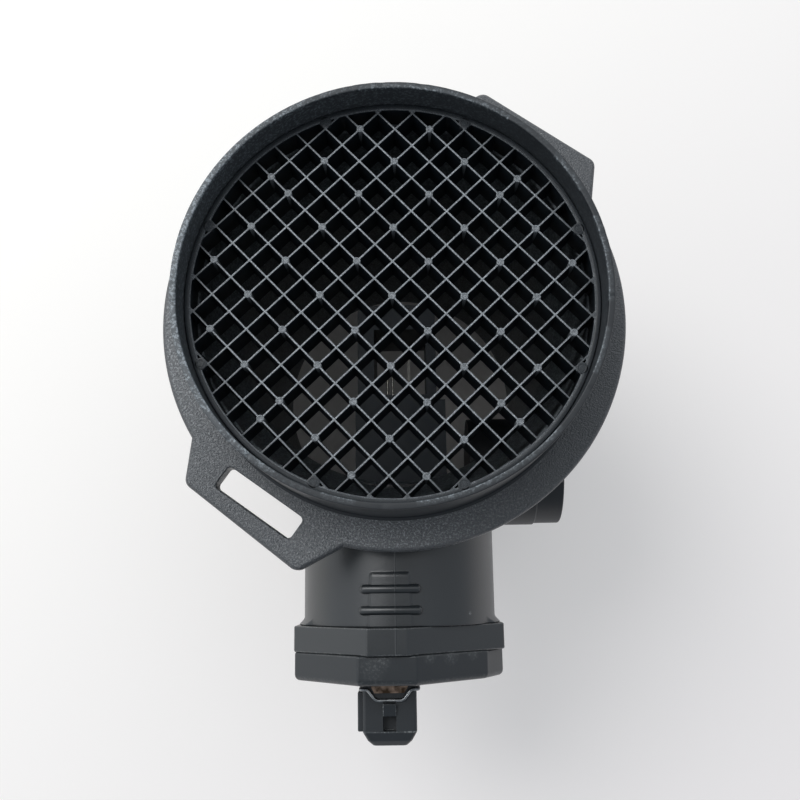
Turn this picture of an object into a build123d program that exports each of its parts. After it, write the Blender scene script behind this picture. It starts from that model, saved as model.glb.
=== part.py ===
from build123d import *
import os
from math import cos, degrees, hypot, radians, sin, sqrt

# Mass airflow sensor, in millimetres. The origin is the centre of the outlet end,
# +Z runs up the duct to the open mouth and the sensor neck points along -Y.

# duct tube
duct_length = 140.0
mouth_outer_r = 50.0
mouth_wall = 1.4
outlet_bore_r = 40.2
outlet_wall = 2.8
outer_swell = 14.5
nozzle_length = 24.4
lip_chamfer = 0.4
stop_place = 38.0
stop_height = 1.6
stop_width = 3.0

# mounting flange and its two ears
flange_r = 58.2
collar_length = 24.5
flange_thickness = 5.0
flange_edge = 0.6
ear_reach = 64.1
ear_half_width = 17.4
ear_flares = ((0.6, 0.45), (0.53, 0.53))
ear_corner_r = 2.6
ear_turns = (231.7, 54.5)
ear_offsets = (2.5, -1.9)
slot_length = 22.5
slot_width = 6.1
slot_reach = 56.6
slot_corner_r = 1.2
slot_lean = 2.6
gusset_thickness = 2.0
gusset_drop = 14.0
gusset_inset = 6.0

# grid pressed into the mouth
grid_recess = 7.6
grid_depth = 7.0
grid_gap = 0.2
grid_ring_wall = 1.4
grid_pitch = 5.94
grid_turn = -1.7
bar_front = 0.5
bar_back = 1.2
boss_r = 1.0
pad_r = 2.3
seat_lip = 2.2

# sensor neck and the inner half of the electronics box
neck_below_mouth = 56.0
neck_r = 25.4
neck_wall = 3.8
neck_floor = 47.0
neck_depth = 29.0
inner_half_depth = 6.5
cover_depth = 7.0
box_half_width = 27.0
box_top = 28.5
box_left_shoulder = 11.0
box_right_shoulder = 9.0
facet_middle = -2.75
facet_half = 4.85
flare = 1.6
flare_half_height = 12.0

# pad and two grip ribs on top of the neck
pad_length = 13.0
pad_end_half_width = 4.7
pad_root_half_width = 5.5
pad_rise = 0.5
pad_middle = -1.9
rib_distances = (9.1, 4.0)
rib_half_lengths = (7.6, 7.9)
rib_r = 1.15

# side stub
stub_r = 15.0
stub_wall = 2.8
stub_y = -34.2
stub_below_neck = 14.0
stub_end = 46.0
stub_root_length = 38.6
stub_step = 0.4

# box cover with the connector header
cover_wall = 2.5
cover_step = 0.2
cover_top = 27.2
cover_facet_half = 7.1
cover_corner = 4.6
cover_edge_r = 1.5
spigot_depth = 3.0
spigot_wall = 1.5
fit_gap = 0.2
header_x = -2.6
header_width = 13.5
header_height = 32.0
header_length = 15.5
nose_lengths = (2.4, 1.3)
nose_insets = (1.25, 1.35)
header_edge_r = 0.9
socket_width = 5.6
socket_height = 24.4
socket_depth = 13.0
key_width = 1.2
key_height = 16.0
key_gap = 0.25
key_length = 9.4
catch_width = 3.3
catch_from_cover = 5.1
catch_length = 3.1
catch_rise = 1.5
notch_length = 3.6
notch_depth = 1.4

# blade terminals
blade_count = 5
blade_pitch = 5.0
blade_width = 2.8
blade_thickness = 0.8
blade_tip = 4.5
blade_on_board = 2.5

# seal in the seam of the box
seal_inset = 0.55
seal_width = 1.1
seal_depth = 1.0

# plug-in sensor body with its air channel
hole_r = 18.2
stem_gap = 0.3
disc_gap = 0.2
disc_thickness = 4.0
plug_left = -10.9
plug_right = 13.2
plug_half_depth = 11.8
finger_left = -10.2
finger_tip = -9.0
finger_root = 17.4
channel_left = -5.8
channel_right = 8.2
channel_tip = -2.2
channel_root = 16.0
wall_right = 10.9
finger_edge = 1.6
ring_place = 43.5
ring_section_r = 0.95
ring_corner = 0.45
groove_half_width = 1.1

# screws that hold the plug on the floor of the neck
plug_screw_reach = 19.5
plug_screw_r = 1.25
plug_screw_length = 8.5
plug_screw_head_r = 1.85
plug_screw_head = 1.6
screw_socket_r = 0.75
screw_socket_depth = 0.9

# measuring element, its carrier and leads
carrier_thickness = 0.7
carrier_half_depth = 5.0
carrier_x = 3.2
carrier_tip = 2.0
carrier_root = 24.0
film_thickness = 0.35
film_half_depth = 3.4
film_length = 9.0
strip_count = 4
strip_pitch = 2.4
strip_width = 1.0
strip_thickness = 0.4
strip_overlap = 4.0
strip_on_board = 3.0
crank_from_channel = 16.0
crank_from_floor = 2.0
thermistor_r = 1.3
thermistor_x = -1.6
thermistor_tip = 8.0
thermistor_side = 8.0
lead_r = 0.25
lead_spread = 0.7
lead_root = 20.0

# electronics in the neck
plate_thickness = 1.5
plate_half_height = 16.0
plate_below_seam = 3.0
plate_socket = 1.5
board_thickness = 0.8
board_half_height = 14.5
board_above_disc = 2.0
board_below_plate_end = 1.0
control_chip_size = (9.0, 9.0, 1.6)
control_chip_place = (6.5, 9.0)
output_chip_size = (7.0, 5.0, 2.2)
output_chip_place = (-7.0, 10.0)
capacitor_size = (3.2, 2.5, 1.8)
capacitor_places = ((-6.0, 17.5), (-1.0, 17.5))

# wire clip and bronze leaf round the header's root
wire_r = 0.45
clip_from_cover = 1.8
clip_bow = 2.6
clip_foot = 3.0
clip_shoulder = 1.8
clip_slope = 2.0
clip_corner_r = 1.1
bow_corner_r = 1.6
leaf_root_width = 10.6
leaf_end_width = 7.4
leaf_depth = 2.7
leaf_thickness = 0.4

# worked out from the sizes above
mouth_inner_r = mouth_outer_r - mouth_wall
outlet_outer_r = outlet_bore_r + outlet_wall
grid_ring_r = mouth_inner_r - grid_gap
grid_bore_r = grid_ring_r - grid_ring_wall
stem_r = hole_r - stem_gap
flange_top = duct_length - collar_length
flange_bottom = flange_top - flange_thickness
outlet_straight = flange_bottom - outer_swell
grid_top = duct_length - grid_recess
grid_seat = grid_top - grid_depth
nozzle_bottom = grid_seat - 1 - nozzle_length
neck_z = duct_length - neck_below_mouth
stub_z = neck_z - stub_below_neck
box_start = neck_floor + neck_depth
box_seam = box_start + inner_half_depth
box_end = box_seam + cover_depth
header_end = box_end + header_length
nose_start = header_end - sum(nose_lengths)
catch_start = box_end + catch_from_cover
neck_bore_r = neck_r - neck_wall
plug_disc_r = neck_bore_r - disc_gap
disc_end = neck_floor + disc_thickness
plate_end = box_seam - plate_below_seam
board_start = disc_end + board_above_disc
board_end = plate_end - board_below_plate_end
header_top = header_height / 2
socket_floor = header_end - socket_depth
board_face = header_x + blade_thickness / 2
plate_face = board_face + board_thickness
lattice_unit = grid_pitch / sqrt(2)

# the neck's own frame: x to the right, y up the duct, z outwards along the neck
neck = Plane(origin=(0, 0, neck_z), x_dir=(1, 0, 0), z_dir=(0, -1, 0))


def along_neck(sketch, start, end):
    """Extrude a sketch of the neck's frame from start to end, both measured from the duct axis."""
    return extrude(neck.offset(start) * sketch, end - start, dir=neck.z_dir)


def neck_block(left, right, low, high, start, end):
    """A block in the neck's frame between two places across, up the duct and along the neck."""
    outline = Pos((left + right) / 2, (low + high) / 2) * Rectangle(right - left, high - low)
    return along_neck(outline, start, end)


def neck_rod(x, up, r, start, end):
    """A round rod along the neck."""
    return along_neck(Pos(x, up) * Circle(r), start, end)


def turned(*edges):
    """Turn a half profile, drawn with x as radius and y as height, round the duct axis."""
    return revolve(make_face(Plane.XZ * Curve(edges)), Axis.Z)


def upright(r, bottom, top):
    """A round disc or rod on the duct axis."""
    return extrude(Plane.XY.offset(bottom) * Circle(r), top - bottom)


def duct_outside():
    """Solid outer form of the tube: outlet spigot with its hose stop, nozzle, flange and collar."""
    tube_r = mouth_inner_r - lip_chamfer
    low = Polyline((0, 0), (outlet_outer_r - lip_chamfer, 0), (outlet_outer_r, lip_chamfer),
                   (outlet_outer_r, outlet_straight))
    swell = Spline((outlet_outer_r, outlet_straight), (tube_r, flange_bottom), tangents=[(0, 1), (0, 1)])
    high = Polyline((tube_r, flange_bottom), (flange_r - flange_edge, flange_bottom),
                    (flange_r, flange_bottom + flange_edge), (flange_r, flange_top - flange_edge),
                    (flange_r - flange_edge, flange_top), (mouth_outer_r, flange_top),
                    (mouth_outer_r, duct_length - lip_chamfer), (mouth_outer_r - lip_chamfer, duct_length),
                    (0, duct_length), (0, 0))
    ring = upright(outlet_outer_r + stop_height, stop_place, stop_place + stop_width)
    return turned(low, swell, high) + chamfer(ring.edges(), stop_height / 2)


def duct_bore():
    """The air passage: seat for the grid, the narrowing nozzle and the straight outlet."""
    seat_r = mouth_inner_r - seat_lip
    low = Polyline((0, -1), (outlet_bore_r, -1), (outlet_bore_r, nozzle_bottom))
    swell = Spline((outlet_bore_r, nozzle_bottom), (seat_r, grid_seat - 1), tangents=[(0, 1), (0, 1)])
    lip = lip_chamfer / 2
    high = Polyline((seat_r, grid_seat - 1), (seat_r, grid_seat), (mouth_inner_r, grid_seat),
                    (mouth_inner_r, duct_length - lip), (mouth_inner_r + lip, duct_length),
                    (mouth_inner_r + lip, duct_length + 1), (0, duct_length + 1), (0, -1))
    return turned(low, swell, high)


def ear(turn, offset_along, flares):
    """A flat ear on the flange with straight flared sides and rounded outer corners."""
    root = mouth_inner_r
    low_half, high_half = [ear_half_width + (ear_reach - root) * flare for flare in flares]
    corners = [(root, -low_half), (ear_reach, -ear_half_width), (ear_reach, ear_half_width), (root, high_half)]
    outline = Polygon(*[(x, y + offset_along) for x, y in corners], align=None)
    outline = fillet(outline.vertices().sort_by(Axis.X)[-2:], ear_corner_r)
    plate = extrude(Plane.XY.offset(flange_bottom) * outline, flange_thickness)
    return Rot(0, 0, turn) * plate


def ear_slot(turn, offset_along):
    """The clip slot through an ear, leaning a little from the ear's outer edge."""
    outline = RectangleRounded(slot_width, slot_length, slot_corner_r)
    outline = Pos(slot_reach, offset_along) * Rot(0, 0, slot_lean) * outline
    cut = extrude(Plane.XY.offset(flange_bottom - 1) * outline, flange_thickness + 2)
    return Rot(0, 0, turn) * cut


def ear_gussets(turn, offset_along):
    """Two triangular webs that stiffen an ear from below."""
    inner = outlet_bore_r + 1
    outer = flange_r - gusset_inset
    low = flange_bottom - gusset_drop
    web = Polyline((inner, flange_bottom), (outer, flange_bottom), (outlet_outer_r, low),
                   (inner, low), (inner, flange_bottom))
    slab = extrude(make_face(Plane.XZ * web), gusset_thickness / 2, both=True)
    half = slot_length / 2
    place = [Rot(0, 0, turn) * Pos(0, offset_along + side * half, 0) * slab for side in (-1, 1)]
    return place[0] + place[1]


def box_outline(top, middle, facet, left_shoulder, right_shoulder, half_width, corner):
    """Cross-section of the electronics box: a narrow top facet, two slopes and upright sides."""
    left, right = middle - facet, middle + facet
    slope = (top - right_shoulder) / (half_width - right)
    cut_x = half_width - corner
    upper = [(-half_width, left_shoulder), (left, top), (right, top)]
    if corner:
        upper += [(cut_x, right_shoulder + corner * slope), (half_width, right_shoulder - corner)]
    else:
        upper += [(half_width, right_shoulder)]
    lower = [(x, -y) for x, y in reversed(upper)]
    return Polygon(*(upper + lower), align=None)


def housing_section():
    """Outline of the inner half of the box."""
    return box_outline(box_top, facet_middle, facet_half, box_left_shoulder, box_right_shoulder,
                       box_half_width, 0)


def cover_section():
    """Outline of the cover: a little smaller, with a wider top facet and one cut corner."""
    return box_outline(cover_top, facet_middle, cover_facet_half, box_left_shoulder - cover_step,
                       box_right_shoulder - cover_step, box_half_width - cover_step, cover_corner)


def neck_outside():
    """Neck cylinder, the inner half of the box and the flare between their sides."""
    cylinder = neck_rod(0, 0, neck_r, outlet_bore_r - 8, box_start)
    box = along_neck(housing_section(), box_start, box_seam)
    upright_cone = (Align.CENTER, Align.CENTER, Align.MIN)
    cone = neck.offset(box_start - flare) * Cone(neck_r, neck_r + flare, flare, align=upright_cone)
    sides = Rectangle(2 * box_half_width, 2 * flare_half_height) & housing_section()
    return cylinder + box + (cone & along_neck(sides, box_start - flare, box_start))


def neck_pad():
    """A low raised pad on top of the neck that widens toward the box."""
    band = along_neck(Circle(neck_r + pad_rise) - Circle(neck_r - 1), box_start - pad_length, box_start + 1)
    end, root = -(box_start - pad_length), -(box_start + 1)
    outline = Polygon((pad_middle - pad_end_half_width, end), (pad_middle + pad_end_half_width, end),
                      (pad_middle + pad_root_half_width, root), (pad_middle - pad_root_half_width, root), align=None)
    return band & extrude(Plane.XY.offset(neck_z) * outline, neck_r + 5, dir=(0, 0, 1))


def neck_rib(distance, half_length):
    """One rounded grip rib that follows the neck's curve, with ball ends."""
    half_angle = degrees((half_length - rib_r) / neck_r)
    middle_angle = 90 - degrees(pad_middle / neck_r)
    section = Plane(origin=(neck_r, 0, 0), x_dir=(1, 0, 0), z_dir=(0, 1, 0)) * Circle(rib_r)
    arc = revolve(section, Axis.Z, revolution_arc=2 * half_angle)
    arc = Rot(0, 0, middle_angle - half_angle) * arc
    for angle in (middle_angle - half_angle, middle_angle + half_angle):
        arc += Pos(neck_r * cos(radians(angle)), neck_r * sin(radians(angle)), 0) * Sphere(rib_r)
    return neck.offset(box_start - distance) * arc


def stub_rod(r, inner, end):
    """A rod along +X on the stub's axis."""
    base = Plane(origin=(inner, stub_y, stub_z), x_dir=(0, 1, 0), z_dir=(1, 0, 0))
    return extrude(base * Circle(r), end - inner)


def plug_screw_places():
    """The two screw places above and below the stem."""
    return [(0, plug_screw_reach), (0, -plug_screw_reach)]


def duct_housing():
    """The one-piece moulded housing."""
    body = duct_outside() + neck_outside() + neck_pad()
    body += stub_rod(stub_r + stub_step, outlet_bore_r / 2, stub_root_length)
    body += stub_rod(stub_r, outlet_bore_r / 2, stub_end)
    for distance, half_length in zip(rib_distances, rib_half_lengths):
        body += neck_rib(distance, half_length)
    for turn, along, flares in zip(ear_turns, ear_offsets, ear_flares):
        body += ear(turn, along, flares)
        body += ear_gussets(turn, along)
    body -= duct_bore()
    body -= along_neck(Circle(neck_bore_r), neck_floor, box_seam + 1)
    body -= along_neck(Circle(hole_r), outlet_bore_r - 14, neck_floor + 1)
    body -= stub_rod(stub_r - stub_wall, outlet_bore_r / 2 + 2, stub_end + 1)
    body -= along_neck(seal_outline(), box_seam - seal_depth, box_seam + 1)
    for x, up in plug_screw_places():
        body -= neck_rod(x, up, plug_screw_r, disc_end - plug_screw_length, neck_floor + 1)
    for turn, along in zip(ear_turns, ear_offsets):
        body -= ear_slot(turn, along)
    return body


def seal_outline():
    """The closed band of the seal that lies in the seam of the box."""
    outer = offset(housing_section(), -seal_inset, kind=Kind.INTERSECTION)
    inner = offset(housing_section(), -seal_inset - seal_width, kind=Kind.INTERSECTION)
    return outer - inner


def cover_seal():
    """Moulded seal in its groove."""
    return along_neck(seal_outline(), box_seam - seal_depth, box_seam)


def grid_bar(step):
    """One tapered bar across the ring, thin at the front and thicker at the back."""
    section = Polygon((-bar_back / 2, 0), (bar_back / 2, 0), (bar_front / 2, grid_depth),
                      (-bar_front / 2, grid_depth), align=None)
    reach = (grid_bore_r + grid_ring_r) / 2
    half = sqrt(reach ** 2 - (step * grid_pitch) ** 2)
    bar = extrude(Plane.XZ * section, half, both=True)
    return Pos(step * grid_pitch, 0, grid_seat) * bar


def boss_places():
    """Lattice places of the ejector bosses: every fourth crossing, in staggered rows."""
    places = []
    for a in range(-10, 11, 2):
        for b in range(-10, 11, 2):
            staggered = (a + b) % 4 == 0 and (a // 2) % 2 == (b // 2) % 2
            if staggered and hypot(a, b) < 10.4:
                places.append((a, b))
    return places + [(a, b) for a in (-7, 7) for b in (-7, 7)]


def pad_places():
    """Lattice places of the eight round pads that grow out of the ring."""
    return [(a, b) for a in (-4, 4) for b in (-10, 10)] + [(a, b) for a in (-10.3, 10.3) for b in (-4, 4)]


def inlet_grid():
    """The moulded square grid with its ring, bosses and pads."""
    ring = upright(grid_ring_r, grid_seat, grid_top) - upright(grid_bore_r, grid_seat - 1, grid_top + 1)
    count = int((grid_bore_r - 1) / grid_pitch)
    bars = [grid_bar(step) for step in range(-count, count + 1)]
    one_way = Rot(0, 0, 45) * (bars[0] + bars[1:])
    other_way = Rot(0, 0, -45) * (bars[0] + bars[1:])
    grid = ring + one_way + other_way
    bosses = [Pos(a * lattice_unit, b * lattice_unit) * upright(boss_r, grid_seat, grid_top)
              for a, b in boss_places()]
    pads = [Pos(a * lattice_unit, b * lattice_unit) * upright(pad_r, grid_seat, grid_top)
            & upright(grid_ring_r, grid_seat, grid_top) for a, b in pad_places()]
    return Rot(0, 0, grid_turn) * (grid + bosses + pads)


def blade(number):
    """One straight blade terminal."""
    up = (number - (blade_count - 1) / 2) * blade_pitch
    return neck_block(header_x - blade_thickness / 2, header_x + blade_thickness / 2,
                      up - blade_width / 2, up + blade_width / 2, board_end - blade_on_board,
                      header_end - blade_tip)


def header_section(inset):
    """Outline of the connector header, drawn in by the inset on all sides."""
    return Pos(header_x, 0) * RectangleRounded(header_width - 2 * inset, header_height - 2 * inset, header_edge_r)


def box_cover():
    """Cover moulded in one with the connector header, its key, catch and the spigot that centres it."""
    shell = along_neck(cover_section(), box_seam, box_end)
    shell = fillet(shell.faces().sort_by(Axis.Y)[0].edges(), cover_edge_r)
    shell -= along_neck(Circle(neck_bore_r - fit_gap - spigot_wall), box_seam - 1, box_end - cover_wall)
    spigot = along_neck(Circle(neck_bore_r - fit_gap) - Circle(neck_bore_r - fit_gap - spigot_wall),
                        box_seam - spigot_depth, box_seam + 1)
    header = along_neck(header_section(0), box_end - cover_wall, nose_start)
    start, inset = nose_start, 0
    for length, step in zip(nose_lengths, nose_insets):
        header += loft([neck.offset(start) * header_section(inset),
                        neck.offset(start + length) * header_section(inset + step)])
        start, inset = start + length, inset + step
    left = header_x - header_width / 2
    key_start = box_end + clip_from_cover + wire_r + key_gap
    key = neck_block(left - key_width, left + 1, header_top - 1 - key_height, header_top - 1,
                     key_start, key_start + key_length)
    body = shell + spigot + header + key + catch()
    body -= neck_block(header_x - socket_width / 2, header_x + socket_width / 2, -socket_height / 2,
                       socket_height / 2, socket_floor, header_end + 1)
    notch_start = catch_start + catch_length
    body -= neck_block(header_x - catch_width / 2, header_x + catch_width / 2, header_top - notch_depth,
                       header_top + 1, notch_start, notch_start + notch_length)
    for number in range(blade_count):
        body -= blade(number)
    return body


def catch():
    """Wedge on top of the header that the wire clip snaps behind."""
    side = Polyline((-catch_start, header_top - 1), (-catch_start, header_top + catch_rise),
                    (-catch_start - catch_length, header_top + catch_rise / 3),
                    (-catch_start - catch_length, header_top - 1), (-catch_start, header_top - 1))
    face = make_face(Plane(origin=(header_x, 0, neck_z), x_dir=(0, 1, 0), z_dir=(1, 0, 0)) * side)
    return extrude(face, catch_width / 2, both=True)


def lead_strip(number):
    """One lead strip of the carrier, cranked inside the plug from the channel to the board."""
    up = (number - (strip_count - 1) / 2) * strip_pitch
    inner_x, outer_x = carrier_x - strip_thickness, board_face - strip_thickness
    path = [(inner_x, carrier_root - strip_overlap), (inner_x, channel_root + crank_from_channel),
            (outer_x, neck_floor - crank_from_floor), (outer_x, board_start + strip_on_board)]
    back = [(x + strip_thickness, s) for x, s in reversed(path)]
    outline = Polygon(*[(x, -s) for x, s in path + back], align=None)
    return Pos(0, 0, neck_z + up - strip_width / 2) * extrude(outline, strip_width)


def element_carrier():
    """The flat carrier that holds the film in the middle of the air channel."""
    plate = neck_block(carrier_x, carrier_x + carrier_thickness, -carrier_half_depth, carrier_half_depth,
                       carrier_tip, carrier_root)
    return plate - film_pocket()


def film_pocket():
    """The shallow pocket in the carrier that takes the film plate."""
    return neck_block(carrier_x + carrier_thickness - film_thickness, carrier_x + carrier_thickness,
                      -film_half_depth, film_half_depth, carrier_tip + 1.2, carrier_tip + 1.2 + film_length)


def thermistor_lead(side):
    """One wire of the air temperature sensor."""
    return neck_rod(thermistor_x + side * lead_spread, thermistor_side, lead_r, thermistor_tip, lead_root)


def air_thermistor():
    """The bead that senses the air temperature, on the ends of its two wires."""
    bead = neck.offset(thermistor_tip) * Pos(thermistor_x, thermistor_side) * Sphere(thermistor_r)
    return bead - thermistor_lead(-1) - thermistor_lead(1)


def plug_ring_groove():
    """Groove round the stem for its ring seal."""
    bottom = hole_r - 2 * ring_section_r
    band = Circle(stem_r + 1) - Circle(bottom)
    return along_neck(band, ring_place - groove_half_width, ring_place + groove_half_width)


def sensor_plug():
    """The plug-in body: flange disc, round stem, finger and its open-sided air channel."""
    stem = along_neck(Circle(stem_r), outlet_bore_r - 14, disc_end) - upright(outlet_bore_r, 0, duct_length)
    disc = along_neck(Circle(plug_disc_r), neck_floor, disc_end)
    base = neck_block(plug_left, plug_right, -plug_half_depth, plug_half_depth, finger_root, neck_floor)
    finger = neck_block(finger_left, channel_right, -plug_half_depth, plug_half_depth,
                        finger_tip, finger_root + 1)
    tip_edges = finger.edges().filter_by(Axis.Z).sort_by(Axis.Y)[-2:]
    finger = chamfer(tip_edges.sort_by(Axis.X)[0], finger_edge)
    body = stem + disc + base + finger
    body -= neck_block(channel_left, channel_right + 1, -plug_half_depth - 1, plug_half_depth + 1,
                       channel_tip, channel_root)
    body -= plug_ring_groove()
    body -= plate_slab(disc_end - plate_socket, disc_end + 1)
    body -= neck_block(carrier_x, carrier_x + carrier_thickness, -carrier_half_depth, carrier_half_depth,
                       carrier_tip, carrier_root)
    for number in range(strip_count):
        body -= lead_strip(number)
    for side in (-1, 1):
        body -= thermistor_lead(side)
    for x, up in plug_screw_places():
        body -= neck_rod(x, up, plug_screw_r + fit_gap, neck_floor - 1, disc_end + 1)
    return body


def channel_cover():
    """The bonded side wall that closes the air channel."""
    wall = neck_block(channel_right, wall_right, -plug_half_depth, plug_half_depth, finger_tip, finger_root)
    edges = wall.edges().filter_by(Axis.Z).sort_by(Axis.Y)[-2:]
    return chamfer(edges.sort_by(Axis.X)[-1], finger_edge)


def plug_ring():
    """Moulded ring seal round the stem, square in section with bevelled edges."""
    outer, inner = Circle(hole_r), Circle(hole_r - 2 * ring_section_r)
    ring = along_neck(outer - inner, ring_place - ring_section_r, ring_place + ring_section_r)
    return chamfer(ring.edges(), ring_corner)


def plug_screw(x, up):
    """One pan-head screw with a round drive recess."""
    shank = neck_rod(x, up, plug_screw_r, disc_end - plug_screw_length, disc_end)
    head = neck_rod(x, up, plug_screw_head_r, disc_end, disc_end + plug_screw_head)
    head = fillet(head.faces().sort_by(Axis.Y)[0].edges(), plug_screw_head / 3)
    top = disc_end + plug_screw_head
    return shank + head - neck_rod(x, up, screw_socket_r, top - screw_socket_depth, top + 1)


def plate_slab(start, end):
    """The base plate's section between two places along the neck."""
    return neck_block(plate_face, plate_face + plate_thickness, -plate_half_height, plate_half_height,
                      start, end)


def board():
    """The ceramic circuit board bonded to the base plate."""
    return neck_block(board_face, plate_face, -board_half_height, board_half_height, board_start, board_end)


def on_board(size, place):
    """A flat component on the board's free face."""
    height, length, thickness = size
    up, along = place
    middle = board_start + along
    return neck_block(board_face - thickness, board_face, up - height / 2, up + height / 2,
                      middle - length / 2, middle + length / 2)


def retaining_clip():
    """The sprung steel wire: down both sides of the header, bowed out behind the catch on top."""
    left = header_x - header_width / 2 - wire_r
    right = header_x + header_width / 2 + wire_r
    top = neck_z + header_top + wire_r
    bottom = neck_z - header_top - wire_r
    root = -box_end - clip_from_cover
    out = root - clip_bow
    slope_left, slope_right = left + clip_shoulder, right - clip_shoulder
    points = [(left + clip_foot, root, bottom), (left, root, bottom), (left, root, top), (slope_left, root, top),
              (slope_left + clip_slope, out, top), (slope_right - clip_slope, out, top),
              (slope_right, root, top), (right, root, top), (right, root, bottom),
              (right - clip_foot, root, bottom)]
    side_radii, bow_radii = (clip_corner_r, clip_corner_r), (clip_corner_r, bow_corner_r)
    path = FilletPolyline(*points, radius=side_radii + bow_radii + bow_radii[::-1] + side_radii)
    return sweep(Plane(origin=points[0], z_dir=(-1, 0, 0)) * Circle(wire_r), path=path)


def clip_leaf():
    """The thin bronze leaf on the header's root, inside the bow of the clip."""
    end = -(box_end + leaf_depth)
    outline = Polygon((header_x - leaf_root_width / 2, -box_end), (header_x + leaf_root_width / 2, -box_end),
                      (header_x + leaf_end_width / 2, end), (header_x - leaf_end_width / 2, end), align=None)
    return extrude(Plane.XY.offset(neck_z + header_top) * outline, leaf_thickness, dir=(0, 0, 1))


parts = {
    "duct_housing": duct_housing(),
    "inlet_grid": inlet_grid(),
    "box_cover": box_cover(),
    "cover_seal": cover_seal(),
    "sensor_plug": sensor_plug(),
    "channel_cover": channel_cover(),
    "plug_ring": plug_ring(),
    "element_carrier": element_carrier(),
    "hot_film_plate": film_pocket(),
    "air_thermistor": air_thermistor(),
    "base_plate": plate_slab(disc_end - plate_socket, plate_end),
    "hybrid_board": board(),
    "control_chip": on_board(control_chip_size, control_chip_place),
    "output_chip": on_board(output_chip_size, output_chip_place),
    "retaining_clip": retaining_clip(),
    "clip_leaf": clip_leaf(),
}
for number in (1, 2):
    x, up = plug_screw_places()[number - 1]
    parts[f"plug_screw_{number}"] = plug_screw(x, up)
    parts[f"thermistor_lead_{number}"] = thermistor_lead(2 * number - 3)
    parts[f"capacitor_{number}"] = on_board(capacitor_size, capacitor_places[number - 1])
for number in range(strip_count):
    parts[f"lead_strip_{number + 1}"] = lead_strip(number)
for number in range(blade_count):
    parts[f"terminal_{number + 1}"] = blade(number)

os.makedirs("parts", exist_ok=True)
for name, shape in parts.items():
    export_step(shape, f"parts/{name}.step")
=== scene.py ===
import bpy
import numpy as np
from mathutils import Matrix
from mathutils.geometry import delaunay_2d_cdt


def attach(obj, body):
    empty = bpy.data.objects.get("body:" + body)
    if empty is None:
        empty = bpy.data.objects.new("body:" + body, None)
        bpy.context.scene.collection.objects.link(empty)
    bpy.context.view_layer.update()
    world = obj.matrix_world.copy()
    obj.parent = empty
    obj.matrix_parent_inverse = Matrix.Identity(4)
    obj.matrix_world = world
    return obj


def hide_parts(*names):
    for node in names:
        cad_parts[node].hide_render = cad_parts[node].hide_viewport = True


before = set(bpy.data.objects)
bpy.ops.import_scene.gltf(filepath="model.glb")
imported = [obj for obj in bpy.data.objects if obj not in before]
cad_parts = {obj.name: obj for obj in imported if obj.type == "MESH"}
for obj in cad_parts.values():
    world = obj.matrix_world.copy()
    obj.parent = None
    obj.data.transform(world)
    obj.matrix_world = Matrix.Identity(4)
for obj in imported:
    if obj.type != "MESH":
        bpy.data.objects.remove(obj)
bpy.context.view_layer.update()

MM = 0.001

# Camera. A close hand-held view almost straight into the mouth, tipped eleven degrees
# toward the neck, so that the neck and its box show below the flange.
camera_place = np.array([3.7563, -64.9188, 332.6524]) * MM
look_right = np.array([0.99979, -0.01478, -0.01429])
look_down = np.array([-0.01730, -0.98038, -0.19634])
look_ahead = np.array([-0.01111, 0.19655, -0.98043])
camera_data = bpy.data.cameras.new("view")
camera_data.sensor_width = 36.0
camera_data.lens = 40.5
camera_data.clip_start = 0.01
camera = bpy.data.objects.new("view", camera_data)
bpy.context.scene.collection.objects.link(camera)
camera_turn = np.eye(4)
camera_turn[:3, 0], camera_turn[:3, 1], camera_turn[:3, 2] = look_right, -look_down, -look_ahead
camera_turn[:3, 3] = camera_place
camera.matrix_world = Matrix(camera_turn.tolist())
bpy.context.scene.camera = camera
bpy.context.scene.view_settings.view_transform = "Standard"


# Table and light. The part stands on its outlet end on a smooth white table top. A wide soft
# window lies to the upper left, and the white room fills the rest.
def to_linear(code):
    """Linear light of an sRGB hex: c / 12.92 below 0.04045, else ((c + 0.055) / 1.055) ** 2.4."""
    c = np.array([int(code[i:i + 2], 16) for i in (1, 3, 5)]) / 255
    return (*np.where(c <= 0.04045, c / 12.92, ((c + 0.055) / 1.055) ** 2.4), 1.0)


def add_node(tree, kind, inputs=None, **settings):
    """Adds a node, sets its properties and fills its inputs with values or another node's output."""
    node = tree.nodes.new(kind)
    for name, value in settings.items():
        setattr(node, name, value)
    for name, value in (inputs or {}).items():
        if isinstance(value, bpy.types.NodeSocket):
            tree.links.new(value, node.inputs[name])
        else:
            node.inputs[name].default_value = value
    return node


def new_material(name):
    """An empty node material with its output."""
    material = bpy.data.materials.new(name)
    material.use_nodes = True
    material.node_tree.nodes.clear()
    return material, material.node_tree, add_node(material.node_tree, "ShaderNodeOutputMaterial")


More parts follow.
